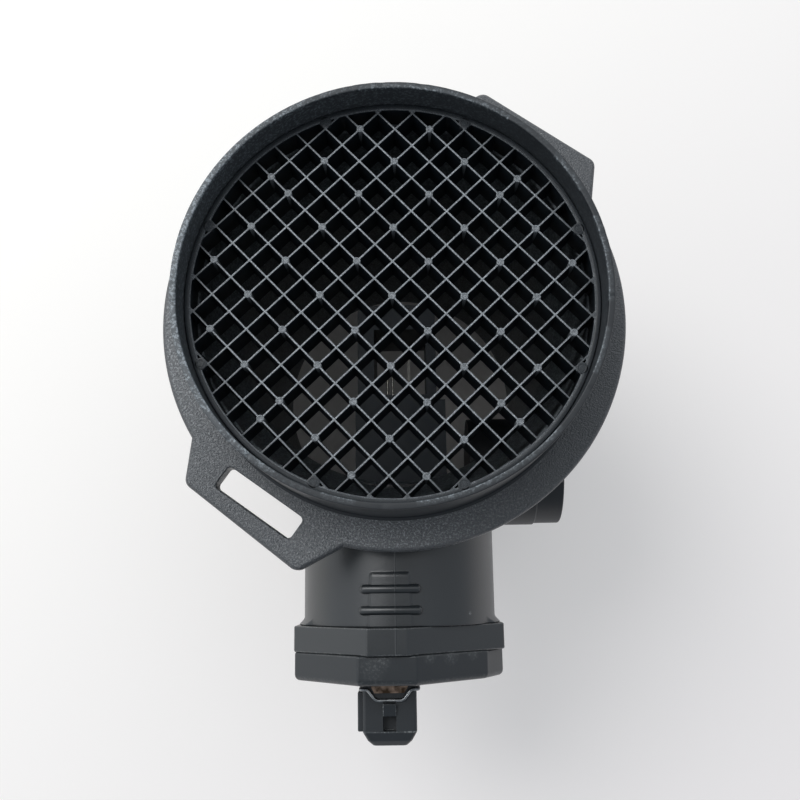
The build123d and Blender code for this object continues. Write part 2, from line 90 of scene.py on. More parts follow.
def laminate_table():
    """White laminate. Its tone falls from warm white at the upper left to cooler grey at the lower right:
    painted shade, the window's light falling off across the table.
    A glow that only the camera and reflections see brings it to white and lights nothing. Under the duct
    the glow is faint, as the light that comes down through the grid is."""
    material, tree, output = new_material("white_laminate_table")
    place = add_node(tree, "ShaderNodeTexCoord").outputs["Object"]
    # Painted shade: the tone darkens toward the lower right, as the window's light falls off.
    slope = add_node(tree, "ShaderNodeVectorMath", {0: place, 1: (0.7, -0.8, 0.0)}, operation="DOT_PRODUCT")
    level = add_node(tree, "ShaderNodeMapRange", {"Value": slope.outputs["Value"], "From Min": -0.2,
                                                  "From Max": 0.22})
    tone = add_node(tree, "ShaderNodeMix", {"Factor": level.outputs["Result"], 6: to_linear("#ece9e3"),
                                            7: to_linear("#d6d1d0")}, data_type="RGBA")
    skin = add_node(tree, "ShaderNodeBsdfPrincipled", {"Base Color": tone.outputs[2], "Roughness": 0.6,
                                                       "Specular IOR Level": 0.2})
    ray = add_node(tree, "ShaderNodeLightPath").outputs
    mirrored = add_node(tree, "ShaderNodeMath", {0: ray["Is Glossy Ray"], 1: ray["Is Transmission Ray"]},
                        operation="MAXIMUM")
    seen = add_node(tree, "ShaderNodeMath", {0: ray["Is Camera Ray"], 1: mirrored.outputs[0]},
                    operation="MAXIMUM")
    from_middle = add_node(tree, "ShaderNodeVectorMath", {0: place}, operation="LENGTH")
    outside = add_node(tree, "ShaderNodeMapRange", {"Value": from_middle.outputs["Value"], "From Min": 0.040,
                                                    "From Max": 0.050, "To Min": 0.014, "To Max": 0.235})
    share = add_node(tree, "ShaderNodeMath", {0: seen.outputs[0], 1: outside.outputs["Result"]},
                     operation="MULTIPLY")
    glow = add_node(tree, "ShaderNodeEmission", {"Strength": share.outputs[0]})
    both = add_node(tree, "ShaderNodeAddShader", {0: skin.outputs[0], 1: glow.outputs[0]})
    tree.links.new(both.outputs[0], output.inputs["Surface"])
    return material


table_half, table_z = 1.6, -0.0002
table_mesh = bpy.data.meshes.new("table_top")
table_mesh.from_pydata([(-table_half, -table_half, table_z), (table_half, -table_half, table_z),
                        (table_half, table_half, table_z), (-table_half, table_half, table_z)], [],
                       [(0, 1, 2, 3)])
table_mesh.materials.append(laminate_table())
table = bpy.data.objects.new("table_top", table_mesh)
bpy.context.scene.collection.objects.link(table)

room = bpy.data.worlds.new("white_room")
room.use_nodes = True
bpy.context.scene.world = room
room_tree = room.node_tree
toward_wall = add_node(room_tree, "ShaderNodeTexCoord").outputs["Generated"]
from_window = add_node(room_tree, "ShaderNodeVectorMath", {0: toward_wall, 1: (0.45, -0.89, 0.0)},
                       operation="DOT_PRODUCT")
wall_level = add_node(room_tree, "ShaderNodeMapRange", {"Value": from_window.outputs["Value"],
                                                        "From Min": -1.0})
walls = add_node(room_tree, "ShaderNodeMix", {"Factor": wall_level.outputs["Result"], 6: to_linear("#f6faff"),
                                              7: to_linear("#6e757d")}, data_type="RGBA")
overhead = add_node(room_tree, "ShaderNodeVectorMath", {0: toward_wall, 1: (0.0, -0.25, 0.97)},
                    operation="DOT_PRODUCT")
shaded = add_node(room_tree, "ShaderNodeMapRange", {"Value": overhead.outputs["Value"], "From Min": 0.82,
                                                    "From Max": 0.97, "To Max": 0.75})
room_light = add_node(room_tree, "ShaderNodeMix", {"Factor": shaded.outputs["Result"], 6: walls.outputs[2],
                                                   7: to_linear("#2a2d31")}, data_type="RGBA")
room_tree.links.new(room_light.outputs[2], room_tree.nodes["Background"].inputs["Color"])
room_tree.nodes["Background"].inputs["Strength"].default_value = 1.25

lamps = (("window", (-0.7, 0.6, 1.45), 1.0, 11.3), ("ceiling", (0.35, 0.1, 1.5), 0.9, 0.5))
for light_name, place, size, watts in lamps:
    light_data = bpy.data.lights.new(light_name, "AREA")
    light_data.shape = "DISK"
    light_data.size = size
    light_data.energy = watts
    lamp = bpy.data.objects.new(light_name, light_data)
    toward = -np.array(place) + np.array([0, 0, 0.1])
    toward /= np.linalg.norm(toward)
    side = np.cross(toward, [0, 0, 1.0])
    side /= np.linalg.norm(side)
    turn = np.eye(4)
    turn[:3, 0], turn[:3, 1], turn[:3, 2], turn[:3, 3] = side, np.cross(side, toward), -toward, place
    lamp.matrix_world = Matrix(turn.tolist())
    bpy.context.scene.collection.objects.link(lamp)


# Duct. One injection moulding in black glass-filled nylon: a straight outlet with a hose stop,
# a nozzle that widens to the flange, and the mouth collar whose lip is worn from handling and
# carries a painted sheen on its left.
def black_nylon(name, colour, roughness, grain_depth, grain_size, wear_and_light_colour="#8d9090", ior=1.53,
                scuffs=(), parting=None):
    """Black glass-filled nylon from a spark-eroded mould: satin, with a fine grain, faint mottling, a few
    specks of dust, and paler patches where the 'wear' attribute is high or near one of the scuffs, each a
    centre, its reach in mm and its strength. That attribute holds real worn edges and nicks, and on some
    pieces painted light as well: painted sheen, painted glints, painted highlights and a painted lift
    inside the duct. At x = parting the mould halves left a fine ridge."""
    material, tree, output = new_material(name)
    place = add_node(tree, "ShaderNodeTexCoord").outputs["Object"]
    grain = add_node(tree, "ShaderNodeTexNoise", {"Vector": place, "Scale": 1 / (grain_size * MM),
                                                  "Detail": 2.0, "Roughness": 0.6})
    mottle = add_node(tree, "ShaderNodeTexNoise", {"Vector": place, "Scale": 1 / (9 * MM), "Detail": 4.0})
    paler = [1.3 * v for v in to_linear(colour)[:3]] + [1.0]
    base = add_node(tree, "ShaderNodeMix", {"Factor": mottle.outputs["Fac"], 6: to_linear(colour), 7: paler},
                    data_type="RGBA")
    wear_and_painted_light = add_node(tree, "ShaderNodeAttribute", attribute_name="wear_and_painted_light")
    amount = wear_and_painted_light.outputs["Fac"]
    for centre, reach, strength in scuffs:
        away = add_node(tree, "ShaderNodeVectorMath", {0: place, 1: np.array(centre) * MM},
                        operation="DISTANCE")
        near = add_node(tree, "ShaderNodeMapRange", {"Value": away.outputs["Value"], "From Min": reach * MM,
                                                     "From Max": 0.2 * reach * MM, "To Max": strength})
        amount = add_node(tree, "ShaderNodeMath", {0: amount, 1: near.outputs["Result"]},
                          operation="MAXIMUM").outputs[0]
    chips = add_node(tree, "ShaderNodeTexNoise", {"Vector": place, "Scale": 1 / (1.3 * grain_size * MM),
                                                  "Detail": 4.0, "Roughness": 0.7})
    chip_patches = add_node(tree, "ShaderNodeMapRange", {"Value": chips.outputs["Fac"], "From Min": 0.50,
                                                   "From Max": 0.62, "To Min": 0.2})
    # Paler where the attribute is high: real worn spots, and painted sheen and highlights on the pieces that
    # carry them.
    wear_and_light_share = add_node(tree, "ShaderNodeMath", {0: amount, 1: chip_patches.outputs["Result"]}, operation="MULTIPLY")
    paled = add_node(tree, "ShaderNodeMix", {"Factor": wear_and_light_share.outputs[0], 6: base.outputs[2],
                                             7: to_linear(wear_and_light_colour)}, data_type="RGBA")
    dust = add_node(tree, "ShaderNodeTexVoronoi", {"Vector": place, "Scale": 1 / (5.5 * MM)})
    speck = add_node(tree, "ShaderNodeMapRange", {"Value": dust.outputs["Distance"], "From Min": 0.028,
                                                  "From Max": 0.018})
    pick = add_node(tree, "ShaderNodeMapRange", {"Value": dust.outputs["Color"], "From Min": 0.72,
                                                 "From Max": 0.74})
    dusty = add_node(tree, "ShaderNodeMath", {0: speck.outputs["Result"], 1: pick.outputs["Result"]},
                     operation="MULTIPLY")
    colour_out = add_node(tree, "ShaderNodeMix", {"Factor": dusty.outputs[0], 6: paled.outputs[2],
                                                  7: to_linear("#b9bcbb")}, data_type="RGBA")
    gloss = add_node(tree, "ShaderNodeMapRange", {"Value": mottle.outputs["Fac"], "To Min": roughness - 0.05,
                                                  "To Max": roughness + 0.07})
    height = grain.outputs["Fac"]
    if parting is not None:
        across_mould = add_node(tree, "ShaderNodeSeparateXYZ", {0: place}).outputs["X"]
        from_line = add_node(tree, "ShaderNodeMath", {0: across_mould, 1: parting * MM}, operation="SUBTRACT")
        line_gap = add_node(tree, "ShaderNodeMath", {0: from_line.outputs[0]}, operation="ABSOLUTE")
        ridge = add_node(tree, "ShaderNodeMapRange", {"Value": line_gap.outputs[0], "From Min": 0.22 * MM,
                                                      "From Max": 0.04 * MM, "To Max": 0.1 / grain_depth})
        height = add_node(tree, "ShaderNodeMath", {0: height, 1: ridge.outputs["Result"]}).outputs[0]
    bump = add_node(tree, "ShaderNodeBump", {"Height": height, "Distance": grain_depth * MM})
    skin = add_node(tree, "ShaderNodeBsdfPrincipled", {"Base Color": colour_out.outputs[2], "IOR": ior,
                                                       "Roughness": gloss.outputs["Result"],
                                                       "Normal": bump.outputs["Normal"]})
    tree.links.new(skin.outputs[0], output.inputs["Surface"])
    return material


def shade(piece, smooth_angle=32):
    """Smooth shading with sharp edges kept; large flat faces keep their own normals up to their rims."""
    mesh = piece.data
    mesh.polygons.foreach_set("use_smooth", np.ones(len(mesh.polygons), bool))
    mesh.set_sharp_from_angle(angle=np.radians(smooth_angle))
    flat = piece.modifiers.new("flat_faces", "WEIGHTED_NORMAL")
    flat.keep_sharp, flat.weight = True, 50


def make_piece(name, points, faces, material, slot, wear_and_painted_light=None, stands_for=()):
    """Turns arrays of points (in mm) and faces into a piece that rides on the body."""
    mesh = bpy.data.meshes.new(name)
    mesh.from_pydata((np.asarray(points).reshape(-1, 3) * MM).tolist(), [], faces)
    if wear_and_painted_light is not None:
        values = mesh.attributes.new("wear_and_painted_light", "FLOAT", "POINT").data
        values.foreach_set("value", np.asarray(wear_and_painted_light, np.float32).ravel())
    mesh.materials.append(material)
    mesh.validate()
    piece = bpy.data.objects.new(name, mesh)
    bpy.context.scene.collection.objects.link(piece)
    if slot:
        shade(piece)
        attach(piece, "root")
        if stands_for:
            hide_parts(*stands_for)
    return piece


def grid_faces(rows, columns, wrap_rows=False, wrap_columns=True, first=0, turn=False):
    """Quads between neighbouring rows and columns of a grid of points, closed where it wraps."""
    i = np.arange(rows if wrap_rows else rows - 1)[:, None]
    j = np.arange(columns if wrap_columns else columns - 1)[None, :]
    a, b = i * columns + j, i * columns + (j + 1) % columns
    c, d = ((i + 1) % rows) * columns + (j + 1) % columns, ((i + 1) % rows) * columns + j
    corners = (a, d, c, b) if turn else (a, b, c, d)
    quads = np.stack(np.broadcast_arrays(*corners), -1).reshape(-1, 4) + first
    return quads.tolist()


def rounded_corners(corners, radius, inset=0.0, samples=6, closed=True):
    """Replaces each corner of a polygon, flat or in space, by an arc that touches both its sides.
    The arc's centre lies on the bisector at (radius + inset) / sin(half angle). With an inset the whole
    outline moves inward by it, and the arcs shrink as far as they can."""
    p = np.asarray(corners, float)
    back, ahead = np.roll(p, 1, 0) - p, np.roll(p, -1, 0) - p
    back /= np.linalg.norm(back, axis=1, keepdims=True)
    ahead /= np.linalg.norm(ahead, axis=1, keepdims=True)
    half = np.arccos(np.clip((back * ahead).sum(1), -1, 1))[:, None] / 2
    bisector = back + ahead
    bisector /= np.linalg.norm(bisector, axis=1, keepdims=True)
    r = np.maximum(radius - inset, 0.04)
    centre = p + bisector * (r + inset) / np.sin(half)
    touch = p + bisector * inset / np.sin(half) + back * r / np.tan(half) - centre
    leave = p + bisector * inset / np.sin(half) + ahead * r / np.tan(half) - centre
    share = np.linspace(0, 1, samples)[None, :, None]
    sweep = np.pi - 2 * half[:, None]
    arcs = centre[:, None] + (np.sin((1 - share) * sweep) * touch[:, None]
                              + np.sin(share * sweep) * leave[:, None]) / np.sin(sweep)
    if closed:
        return arcs.reshape(-1, p.shape[1])
    return np.vstack([p[:1], arcs[1:-1].reshape(-1, p.shape[1]), p[-1:]])


def s_curve(r0, z0, r1, z1, samples=14):
    """Smooth swell from one radius to another: r follows 3t^2 - 2t^3 while z rises evenly."""
    t = np.linspace(0, 1, samples)
    return np.stack([r0 + (r1 - r0) * t * t * (3 - 2 * t), z0 + (z1 - z0) * t], 1)


def turned(profile, segments, axis_frame=np.eye(3), origin=(0, 0, 0)):
    """Carries a closed (radius, height) profile round an axis: x = r cos a, y = r sin a, z = height."""
    a = np.arange(segments) * 2 * np.pi / segments
    radius, height = profile[:, :1], profile[:, 1:]
    local = np.stack(np.broadcast_arrays(radius * np.cos(a), radius * np.sin(a), height), -1)
    return local @ np.asarray(axis_frame, float) + np.asarray(origin, float)


outlet_r, outlet_bore, mouth_r, mouth_inner_r = 43.0, 40.2, 50.1, 48.6
seat_z, grid_front_z, mouth_z = 125.4, 132.4, 140.0
flange_low, flange_high, flange_r = 110.5, 115.5, 58.2
outer_line = np.vstack([[[outlet_r - 0.4, 0.0], [outlet_r - 0.1, 0.12], [outlet_r, 0.4]],
                        [[outlet_r, 37.9], [outlet_r + 0.1, 38.1]],
                        [[outlet_r + 0.8, 38.1], [outlet_r + 1.4, 38.4]],
                        [[outlet_r + 1.6, 39.0], [outlet_r + 1.6, 40.2], [outlet_r + 1.2, 40.8]],
                        [[outlet_r + 0.2, 41.1], [outlet_r, 41.4]],
                        s_curve(outlet_r, 96.0, mouth_inner_r - 0.4, flange_low),
                        [[mouth_inner_r - 0.4, flange_high - 0.6], [mouth_r + 0.9, flange_high - 0.4]],
                        [[mouth_r + 0.8, flange_high + 0.03], [mouth_r + 0.35, flange_high + 0.2],
                         [mouth_r + 0.1, flange_high + 0.5], [mouth_r, flange_high + 0.9]],
                        np.stack([np.full(12, mouth_r), np.linspace(118, mouth_z - 0.9, 12)], 1)])
lip_turn = np.radians(np.linspace(0, 90, 6))
lip_line = np.vstack([np.stack([mouth_r - 0.25 + 0.25 * np.cos(lip_turn),
                                mouth_z - 0.25 + 0.25 * np.sin(lip_turn)], 1),
                      np.stack([mouth_inner_r + 0.3 - 0.3 * np.sin(lip_turn),
                                mouth_z - 0.3 + 0.3 * np.cos(lip_turn)], 1)])
inner_line = np.vstack([np.stack([np.full(8, mouth_inner_r), np.linspace(mouth_z - 1.2, seat_z, 8)], 1),
                        [[46.6, seat_z], [46.4, seat_z - 0.2], [46.4, seat_z - 1.0]],
                        s_curve(46.4, seat_z - 1.0, outlet_bore, 100.0),
                        [[outlet_bore, 60.0], [outlet_bore, 0.3], [outlet_bore + 0.3, 0.0]]])
duct_profile = np.vstack([outer_line, lip_line, inner_line])
duct_segments = 720
duct_points = turned(duct_profile, duct_segments)
# Knocks in the lip: short dents at places drawn once, which fade out a little way down the wall.
knocks = np.random.default_rng(7)
angle = np.arange(duct_segments) * 2 * np.pi / duct_segments
dent = np.zeros(duct_segments)
for centre, width, depth in zip(knocks.uniform(0, 2 * np.pi, 46), knocks.uniform(0.004, 0.02, 46),
                                knocks.uniform(-0.05, 0.22, 46)):
    away = np.abs((angle - centre + np.pi) % (2 * np.pi) - np.pi)
    dent += depth * np.exp(-(away / width) ** 2)
near_lip = np.exp(-((duct_points[..., 2] - mouth_z) / 0.55) ** 2)
duct_points[..., 2] -= near_lip * np.clip(dent, 0.0, 0.3)
waviness = 0.03 * np.sin(3 * angle + 0.6) + 0.02 * np.sin(7 * angle + 2.0)
duct_points[..., :2] *= (1 + near_lip * waviness / 50)[..., None]
# Painted light on the lip: its left side is painted paler, a painted sheen from the window, and it is a
# little paler toward the far side; along its inner edge it is worn in nicks.
left_side = np.clip(np.cos(angle - np.radians(172)), 0, 1) ** 2
inner_edge = np.exp(-((np.hypot(duct_points[..., 0], duct_points[..., 1]) - mouth_inner_r - 0.1) / 0.25) ** 2)
nicks = np.sin(5 * angle + 1) + np.sin(13 * angle) > -0.4
duct_wear_and_painted_light = near_lip * (0.14 * np.clip(np.sin(angle), 0, 1) + 1.3 * left_side + 0.8 * inner_edge * nicks)
# The wall inside the lip is painted paler, most toward the upper left, and from the grid's seat down
# it is painted pale throughout: painted light that lifts the dark inside of the duct.
duct_wear_and_painted_light[len(outer_line) + len(lip_line):] = 0.12 + 0.4 * np.clip(np.cos(angle - 2.4), 0, 1)
rows_below_seat = 20
duct_wear_and_painted_light[-rows_below_seat:] = 2.5
nylon_duct = black_nylon("black_nylon_duct", "#24272a", 0.46, 0.015, 0.5, "#8f979c", ior=1.46)
duct_tube = make_piece("duct_tube", duct_points, grid_faces(len(duct_profile), duct_segments, wrap_rows=True),
                       nylon_duct, "housing_plastic", wear_and_painted_light=duct_wear_and_painted_light, stands_for=["duct_housing"])


def cylinder_cutter(radius, start, end, axis_frame, origin):
    """A plain closed cylinder that is only used to cut a hole, then removed."""
    ring = turned(np.array([[radius, start], [radius, end]], float), 128, axis_frame, origin)
    caps = [list(range(128)), list(range(255, 127, -1))]
    return make_piece("cutter", ring, caps + grid_faces(2, 128, turn=True), nylon_duct, None)


def cut(piece, cutter):
    """Cuts the cutter's form out of a piece for good."""
    piece.modifiers.clear()
    modifier = piece.modifiers.new("cut", "BOOLEAN")
    modifier.operation, modifier.solver, modifier.object = "DIFFERENCE", "EXACT", cutter
    bpy.context.view_layer.update()
    finished = bpy.data.meshes.new_from_object(piece.evaluated_get(bpy.context.evaluated_depsgraph_get()))
    piece.modifiers.clear()
    piece.data = finished
    shade(piece)
    bpy.data.objects.remove(cutter)


neck_z = 84.0
# rows of a frame are where its own x, y and z axes point in the world
neck_frame = np.array([[1.0, 0, 0], [0, 0, 1.0], [0, -1.0, 0]])
side_frame = np.array([[0, 1.0, 0], [0, 0, 1.0], [1.0, 0, 0]])
stub_y, stub_z, stub_bore, neck_opening = -34.2, 70.0, 12.2, 18.2
cut(duct_tube, cylinder_cutter(neck_opening, 30.0, 60.0, neck_frame, (0, 0, neck_z)))
cut(duct_tube, cylinder_cutter(stub_bore, 22.1, 60.0, side_frame, (0, stub_y, stub_z)))


# Flange. A flat collar moulded round the duct, with two ears whose slots take the filter box's
# spring clips. Its face has the coarsest grain of the moulding.
def edge_rows(outline, low, high, low_edge, high_edge):
    """Rows of one upright edge: outline(inset) at each height, with quarter circles at both rims.
    Inset is edge * (1 - cos) and height edge * (1 - sin) of the angle along the quarter circle."""
    bend = np.radians(np.linspace(0, 90, 5))
    insets = np.concatenate([low_edge * (1 - np.sin(bend)), high_edge * (1 - np.cos(bend))])
    heights = np.concatenate([low + low_edge * (1 - np.cos(bend)), high - high_edge * (1 - np.sin(bend))])
    return np.stack([np.insert(outline(inset), 2, height, axis=1) for inset, height in zip(insets, heights)])


def flat_face(rings, first_indices):
    """Joins closed flat loops by constrained Delaunay triangles and keeps those whose middle lies inside:
    a ray from it crosses the loops an odd number of times."""
    points = np.vstack(rings)
    index = np.concatenate([first + np.arange(len(ring)) for ring, first in zip(rings, first_indices)])
    starts = np.cumsum([0] + [len(ring) for ring in rings[:-1]])
    edges = np.vstack([np.stack([np.arange(len(ring)), (np.arange(len(ring)) + 1) % len(ring)], 1) + start
                       for ring, start in zip(rings, starts)])
    result = delaunay_2d_cdt(points.tolist(), edges.tolist(), [], 1, 1e-7)
    triangles = np.array(result[2])
    middle = np.array([tuple(v) for v in result[0]])[triangles].mean(1)
    begin, end = points[edges[:, 0]], points[edges[:, 1]]
    crossings = np.zeros(len(middle), int)
    for chunk in np.array_split(np.arange(len(edges)), 1 + len(edges) * len(middle) // 8_000_000):
        s, e = begin[chunk], end[chunk]
        spans = (s[:, 1] > middle[:, None, 1]) != (e[:, 1] > middle[:, None, 1])
        rise = np.where(np.abs(e[:, 1] - s[:, 1]) < 1e-12, 1e-12, e[:, 1] - s[:, 1])
        x = s[:, 0] + (middle[:, None, 1] - s[:, 1]) * (e[:, 0] - s[:, 0]) / rise
        crossings += (spans & (x > middle[:, :1])).sum(1)
    source = np.array([v[0] if v else -1 for v in result[3]])
    kept = source[triangles[(crossings % 2 == 1)]]
    return index[kept[(kept >= 0).all(1)]]


def plate(loops):
    """A plate from upright edges. Each loop is (rows, kind): an outer rim, a hole that goes through, or a
    blind hole that ends in its own floor. Flat faces join the loops' first rows and their last rows. The
    third result is 1 on rounded edges and 0 elsewhere."""
    points, faces, wear_and_painted_light, firsts, first = [], [], [], [], 0
    for rows, kind in loops:
        points.append(rows.reshape(-1, 3))
        faces += grid_faces(len(rows), rows.shape[1], first=first, turn=kind != "rim")
        moved = np.linalg.norm(np.diff(rows, axis=0), axis=2).mean(1)
        bent = np.maximum(np.append(moved, 9.0), np.insert(moved, 0, 9.0)) < 0.6
        wear_and_painted_light.append(np.repeat(bent.astype(float), rows.shape[1]))
        firsts.append(first)
        first += rows.shape[0] * rows.shape[1]
        if kind == "blind":
            faces.append(list(range(first - rows.shape[1], first))[::-1])
    faces += flat_face([rows[0, :, :2] for rows, _ in loops], firsts)[:, ::-1].tolist()
    through = [k for k, (_, kind) in enumerate(loops) if kind != "blind"]
    faces += flat_face([loops[k][0][-1, :, :2] for k in through],
                       [firsts[k] + (len(loops[k][0]) - 1) * loops[k][0].shape[1] for k in through]).tolist()
    return np.vstack(points), faces, np.concatenate(wear_and_painted_light)


def circle(radius, samples=360, x=0.0, y=0.0):
    """A round loop."""
    a = np.arange(samples) * 2 * np.pi / samples
    return np.stack([radius * np.cos(a) + x, radius * np.sin(a) + y], 1)


def spun(points, degrees_round):
    """Turns flat points about the origin."""
    t = np.radians(degrees_round)
    return points @ np.array([[np.cos(t), np.sin(t)], [-np.sin(t), np.cos(t)]])


def flange_rim(inset):
    """The flange's rim as the outermost of a circle and two ears: at each angle the larger radius wins.
    An ear is a four-sided form with rounded outer corners, read off as radius over angle."""
    a = np.linspace(0, 2 * np.pi, 2160, endpoint=False)
    radius = np.full(len(a), flange_r - inset)
    for turn, offset, (low_flare, high_flare) in zip(ear_turns, ear_offsets, ear_flares):
        root, reach, half = 40.0, 64.1, 17.4
        ear = rounded_corners([(root, offset - half - (reach - root) * low_flare), (reach, offset - half),
                               (reach, offset + half), (root, offset + half + (reach - root) * high_flare)],
                              2.6, inset, 24)
        steps = np.linspace(0, 1, 60, endpoint=False)
        dense = np.concatenate([ear + (np.roll(ear, -1, 0) - ear) * s for s in steps])
        far = np.hypot(*dense.T)
        polar = np.arctan2(dense[:, 1], dense[:, 0])[far > flange_r - 3]
        far = far[far > flange_r - 3][np.argsort(polar)]
        here = (a - np.radians(turn) + np.pi) % (2 * np.pi) - np.pi
        radius = np.maximum(radius, np.interp(here, np.sort(polar), far, left=0, right=0))
    return np.stack([radius * np.cos(a), radius * np.sin(a)], 1)


def slot_rim(turn, offset, inset):
    """The clip slot of an ear: a rectangle with rounded corners that leans a little in the ear."""
    half_long, half_wide = 11.25 + inset, 3.05 + inset
    ring = rounded_corners([(-half_wide, -half_long), (half_wide, -half_long), (half_wide, half_long),
                            (-half_wide, half_long)], 1.2 + inset, 0.0, 10)
    return spun(spun(ring, 2.6) + [56.6, offset], turn)


ear_turns, ear_offsets, ear_flares = (231.7, 54.5), (2.5, -1.9), ((0.6, 0.45), (0.53, 0.53))
flange_loops = [(edge_rows(flange_rim, flange_low, flange_high, 0.5, 1.0), "rim"),
                (edge_rows(lambda inset: circle(mouth_r - 0.7 + inset), flange_low, flange_high, 0.1, 0.1),
                 "hole")]
for turn, offset in zip(ear_turns, ear_offsets):
    slot_rows = edge_rows(lambda inset: slot_rim(turn, offset, inset), flange_low, flange_high, 0.4, 0.4)
    flange_loops.append((slot_rows, "hole"))
flange_points, flange_faces, flange_wear = plate(flange_loops)
# The face is painted paler below the tube, painted glints in its grain, and paler still on its left,
# a painted sheen from the window.
round_face = np.arctan2(flange_points[:, 1], flange_points[:, 0])
face_glints_and_sheen = 0.08 + 0.5 * np.clip(-np.sin(round_face), 0, 1) ** 10
face_glints_and_sheen += 0.6 * np.clip(np.cos(round_face - 3.2), 0, 1) ** 5
grained_nylon = black_nylon("grained_nylon_flange", "#22272c", 0.36, 0.34, 0.4, "#b4b8ba", ior=1.85)
make_piece("mounting_flange", flange_points, flange_faces, grained_nylon, "housing_plastic",
           wear_and_painted_light=np.where(flange_wear > 0, 0.1, face_glints_and_sheen), stands_for=["duct_housing"])

web_corners = np.array([[42.2, 110.6], [52.2, 110.6], [43.6, 97.0], [42.2, 97.0]])
web_count = 0
for turn, offset in zip(ear_turns, ear_offsets):
    for side in (-11.25, 11.25):
        web_rows = edge_rows(lambda inset: rounded_corners(web_corners, 0.4, inset, 4), -1.0, 1.0, 0.3, 0.3)
        web_points, web_faces, _ = plate([(web_rows, "rim")])
        t = np.radians(turn)
        outward, across = np.array([np.cos(t), np.sin(t), 0]), np.array([-np.sin(t), np.cos(t), 0])
        placed = (web_points[:, :1] * outward + web_points[:, 1:2] * [0, 0, 1.0]
                  + (offset + side - web_points[:, 2:]) * across)
        web_count += 1
        make_piece(f"ear_web_{web_count}", placed, web_faces, nylon_duct, "housing_plastic",
                   stands_for=["duct_housing"])


# Sensor neck. A stout tube of the same moulding that stands on the duct's side and carries the
# electronics box. Its top has a low pad with two grip ribs.
neck_r, neck_bore, neck_floor, box_start, box_seam, box_end = 25.4, 21.6, 47.0, 76.0, 82.5, 89.5
box_corners = np.array([(-27.0, 11.0), (-7.6, 28.5), (2.1, 28.5), (27.0, 9.0),
                        (27.0, -9.0), (2.1, -28.5), (-7.6, -28.5), (-27.0, -11.0)])[::-1]


def ramp(value, start, width):
    """Smooth step 3t^2 - 2t^3 from 0 at start to 1 at start + width."""
    t = np.clip((value - start) / width, 0, 1)
    return t * t * (3 - 2 * t)


def reach_of(corners, angles):
    """Distance from the origin to a convex outline along each angle: the nearest of its sides' lines."""
    side = np.roll(corners, -1, 0) - corners
    normal = np.stack([side[:, 1], -side[:, 0]], 1) / np.linalg.norm(side, axis=1, keepdims=True)
    level = (normal * corners).sum(1)
    normal, level = normal * np.sign(level)[:, None], np.abs(level)
    facing = np.cos(angles)[:, None] * normal[:, 0] + np.sin(angles)[:, None] * normal[:, 1]
    return np.where(facing > 1e-6, level / np.maximum(facing, 1e-6), np.inf).min(1)


neck_segments = 720
neck_angle = np.arange(neck_segments) * 2 * np.pi / neck_segments
outer_along = np.concatenate([np.linspace(44, 62, 13), np.linspace(62.2, 64, 10),
                              np.linspace(64.5, 73.8, 20), np.linspace(74.0, 75.7, 12)])
across, up = neck_r * np.cos(neck_angle), neck_r * np.sin(neck_angle)
root_along = np.sqrt(41.6 ** 2 - across ** 2)
along = root_along + (outer_along[:, None] - 44) * (75.7 - root_along) / (75.7 - 44)
pad_half = 4.7 + 0.8 * (along - 63.0) / 14.0
from_pad = across + 1.9
pad_across = ramp(from_pad, -pad_half - 0.4, 0.9) * (1 - ramp(from_pad, pad_half - 0.5, 0.9)) * (up > 0)
flare_room = np.clip(reach_of(box_corners, neck_angle) - 0.2 - neck_r, 0, None)
flare_room *= 1 - ramp(np.abs(up), 9.0, 4.0)
outer_r = neck_r + 0.45 * pad_across * ramp(along, 62.7, 0.8)
outer_r = outer_r + np.minimum(1.6 * ramp(along, 74.0, 3.4) / ramp(76, 74.0, 3.4), flare_room)
neck_rows = [np.stack([outer_r * np.cos(neck_angle), outer_r * np.sin(neck_angle), along], -1)]
bend = np.radians(np.linspace(20, 90, 5))[:, None]
rim_r = outer_r[-1] - 0.3 * (1 - np.cos(bend))
neck_rows.append(np.stack([rim_r * np.cos(neck_angle), rim_r * np.sin(neck_angle),
                           np.broadcast_to(75.7 + 0.3 * np.sin(bend), rim_r.shape)], -1))
# The tube's inside, from the box down to the floor and through it; the last row follows the duct's wall.
for radius, place in ((neck_bore, box_start), (neck_bore, 62.0), (neck_bore, neck_floor),
                      (neck_opening, neck_floor), (neck_opening, None)):
    ring_along = place or np.sqrt(42.6 ** 2 - (neck_opening * np.cos(neck_angle)) ** 2)
    neck_rows.append(np.stack([radius * np.cos(neck_angle), radius * np.sin(neck_angle),
                               np.broadcast_to(ring_along, neck_angle.shape)], -1)[None])
neck_rows = np.concatenate(neck_rows)
# The neck, its ribs and the box half take a darker copy of the duct's nylon: painted shade.
shaded_nylon_neck = black_nylon("shaded_black_nylon_neck", "#171c1f", 0.36, 0.02, 0.45, ior=1.72,
                         scuffs=(((17.8, -73.1, 102.1), 0.6, 1), ((-9.1, -79.3, 112.4), 0.6, 1)),
                         parting=-0.6)
neck = make_piece("sensor_neck", neck_rows @ neck_frame + [0, 0, neck_z],
                  grid_faces(len(neck_rows), neck_segments, wrap_rows=True), shaded_nylon_neck, "housing_plastic",
                  stands_for=["duct_housing"])
cut(neck, cylinder_cutter(stub_bore, 22.1, 60.0, side_frame, (0, stub_y, stub_z)))


